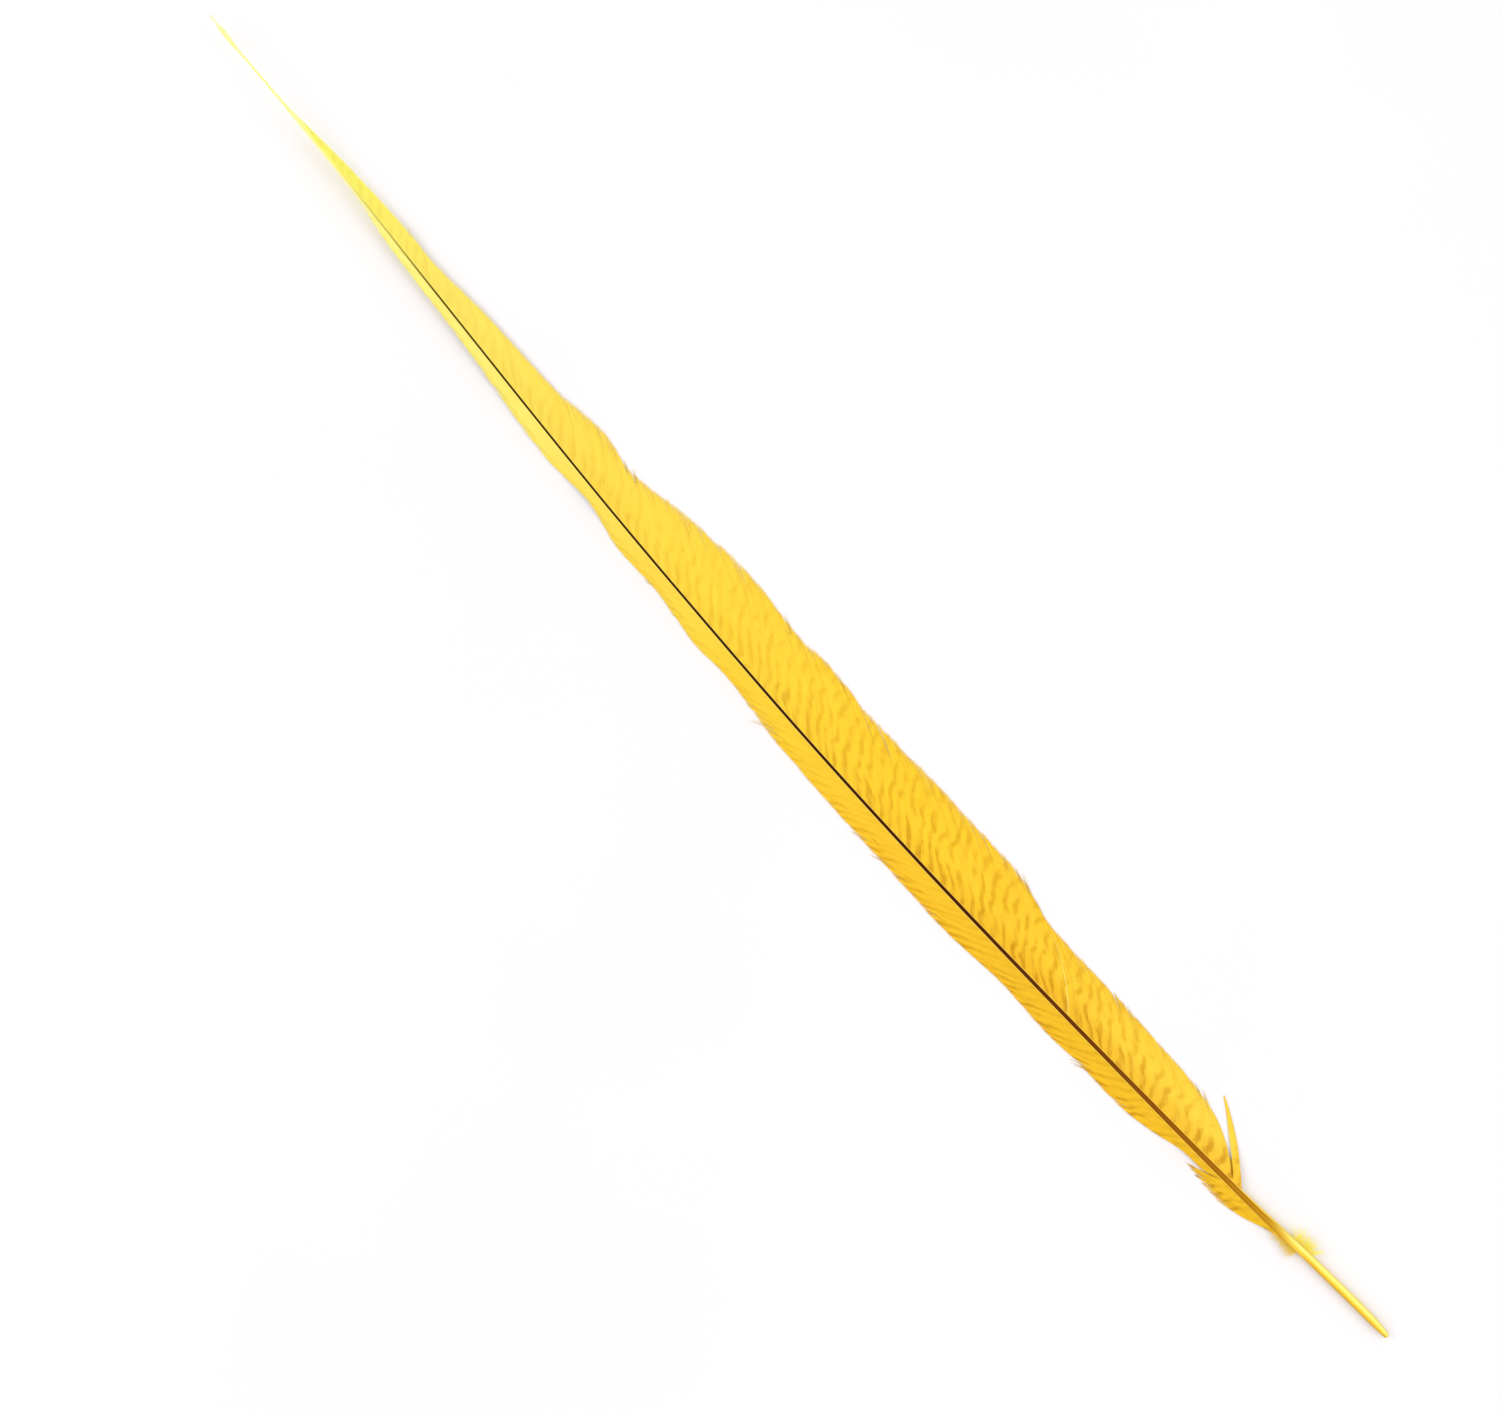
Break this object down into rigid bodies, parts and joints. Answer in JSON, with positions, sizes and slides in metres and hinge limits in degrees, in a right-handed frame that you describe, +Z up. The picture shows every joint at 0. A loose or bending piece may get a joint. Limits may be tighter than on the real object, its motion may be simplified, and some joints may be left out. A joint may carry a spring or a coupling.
{
  "type": "pheasant tail feather",
  "caption": "Long pointed tail feather lying flat, dyed yellow: a bowed tapering shaft with a wide and a narrow vane in soft locks, a little down and a bare cut quill.",
  "frame": {"origin": "middle of the feather's bounding box, on the surface that it lies on", "axes": "+X along the feather from the cut quill to the tip, +Y towards the narrow vane, +Z up from the surface"},
  "size_m": [0.5, 0.0278, 0.0074],
  "materials": {
    "shaft_keratin": "satin keratin, clear yellow quill turning dark brown along the shaft",
    "vane_barbs": "soft silky barbs, dyed yellow with faint darker bars",
    "down": "matte fluffy down"
  },
  "bodies": {
    "root": {"shaft": "shaft_keratin", "wide_vane": "vane_barbs", "narrow_vane": "vane_barbs", "wide_side_down": "down", "narrow_side_down": "down"}
  },
  "joints": []
}
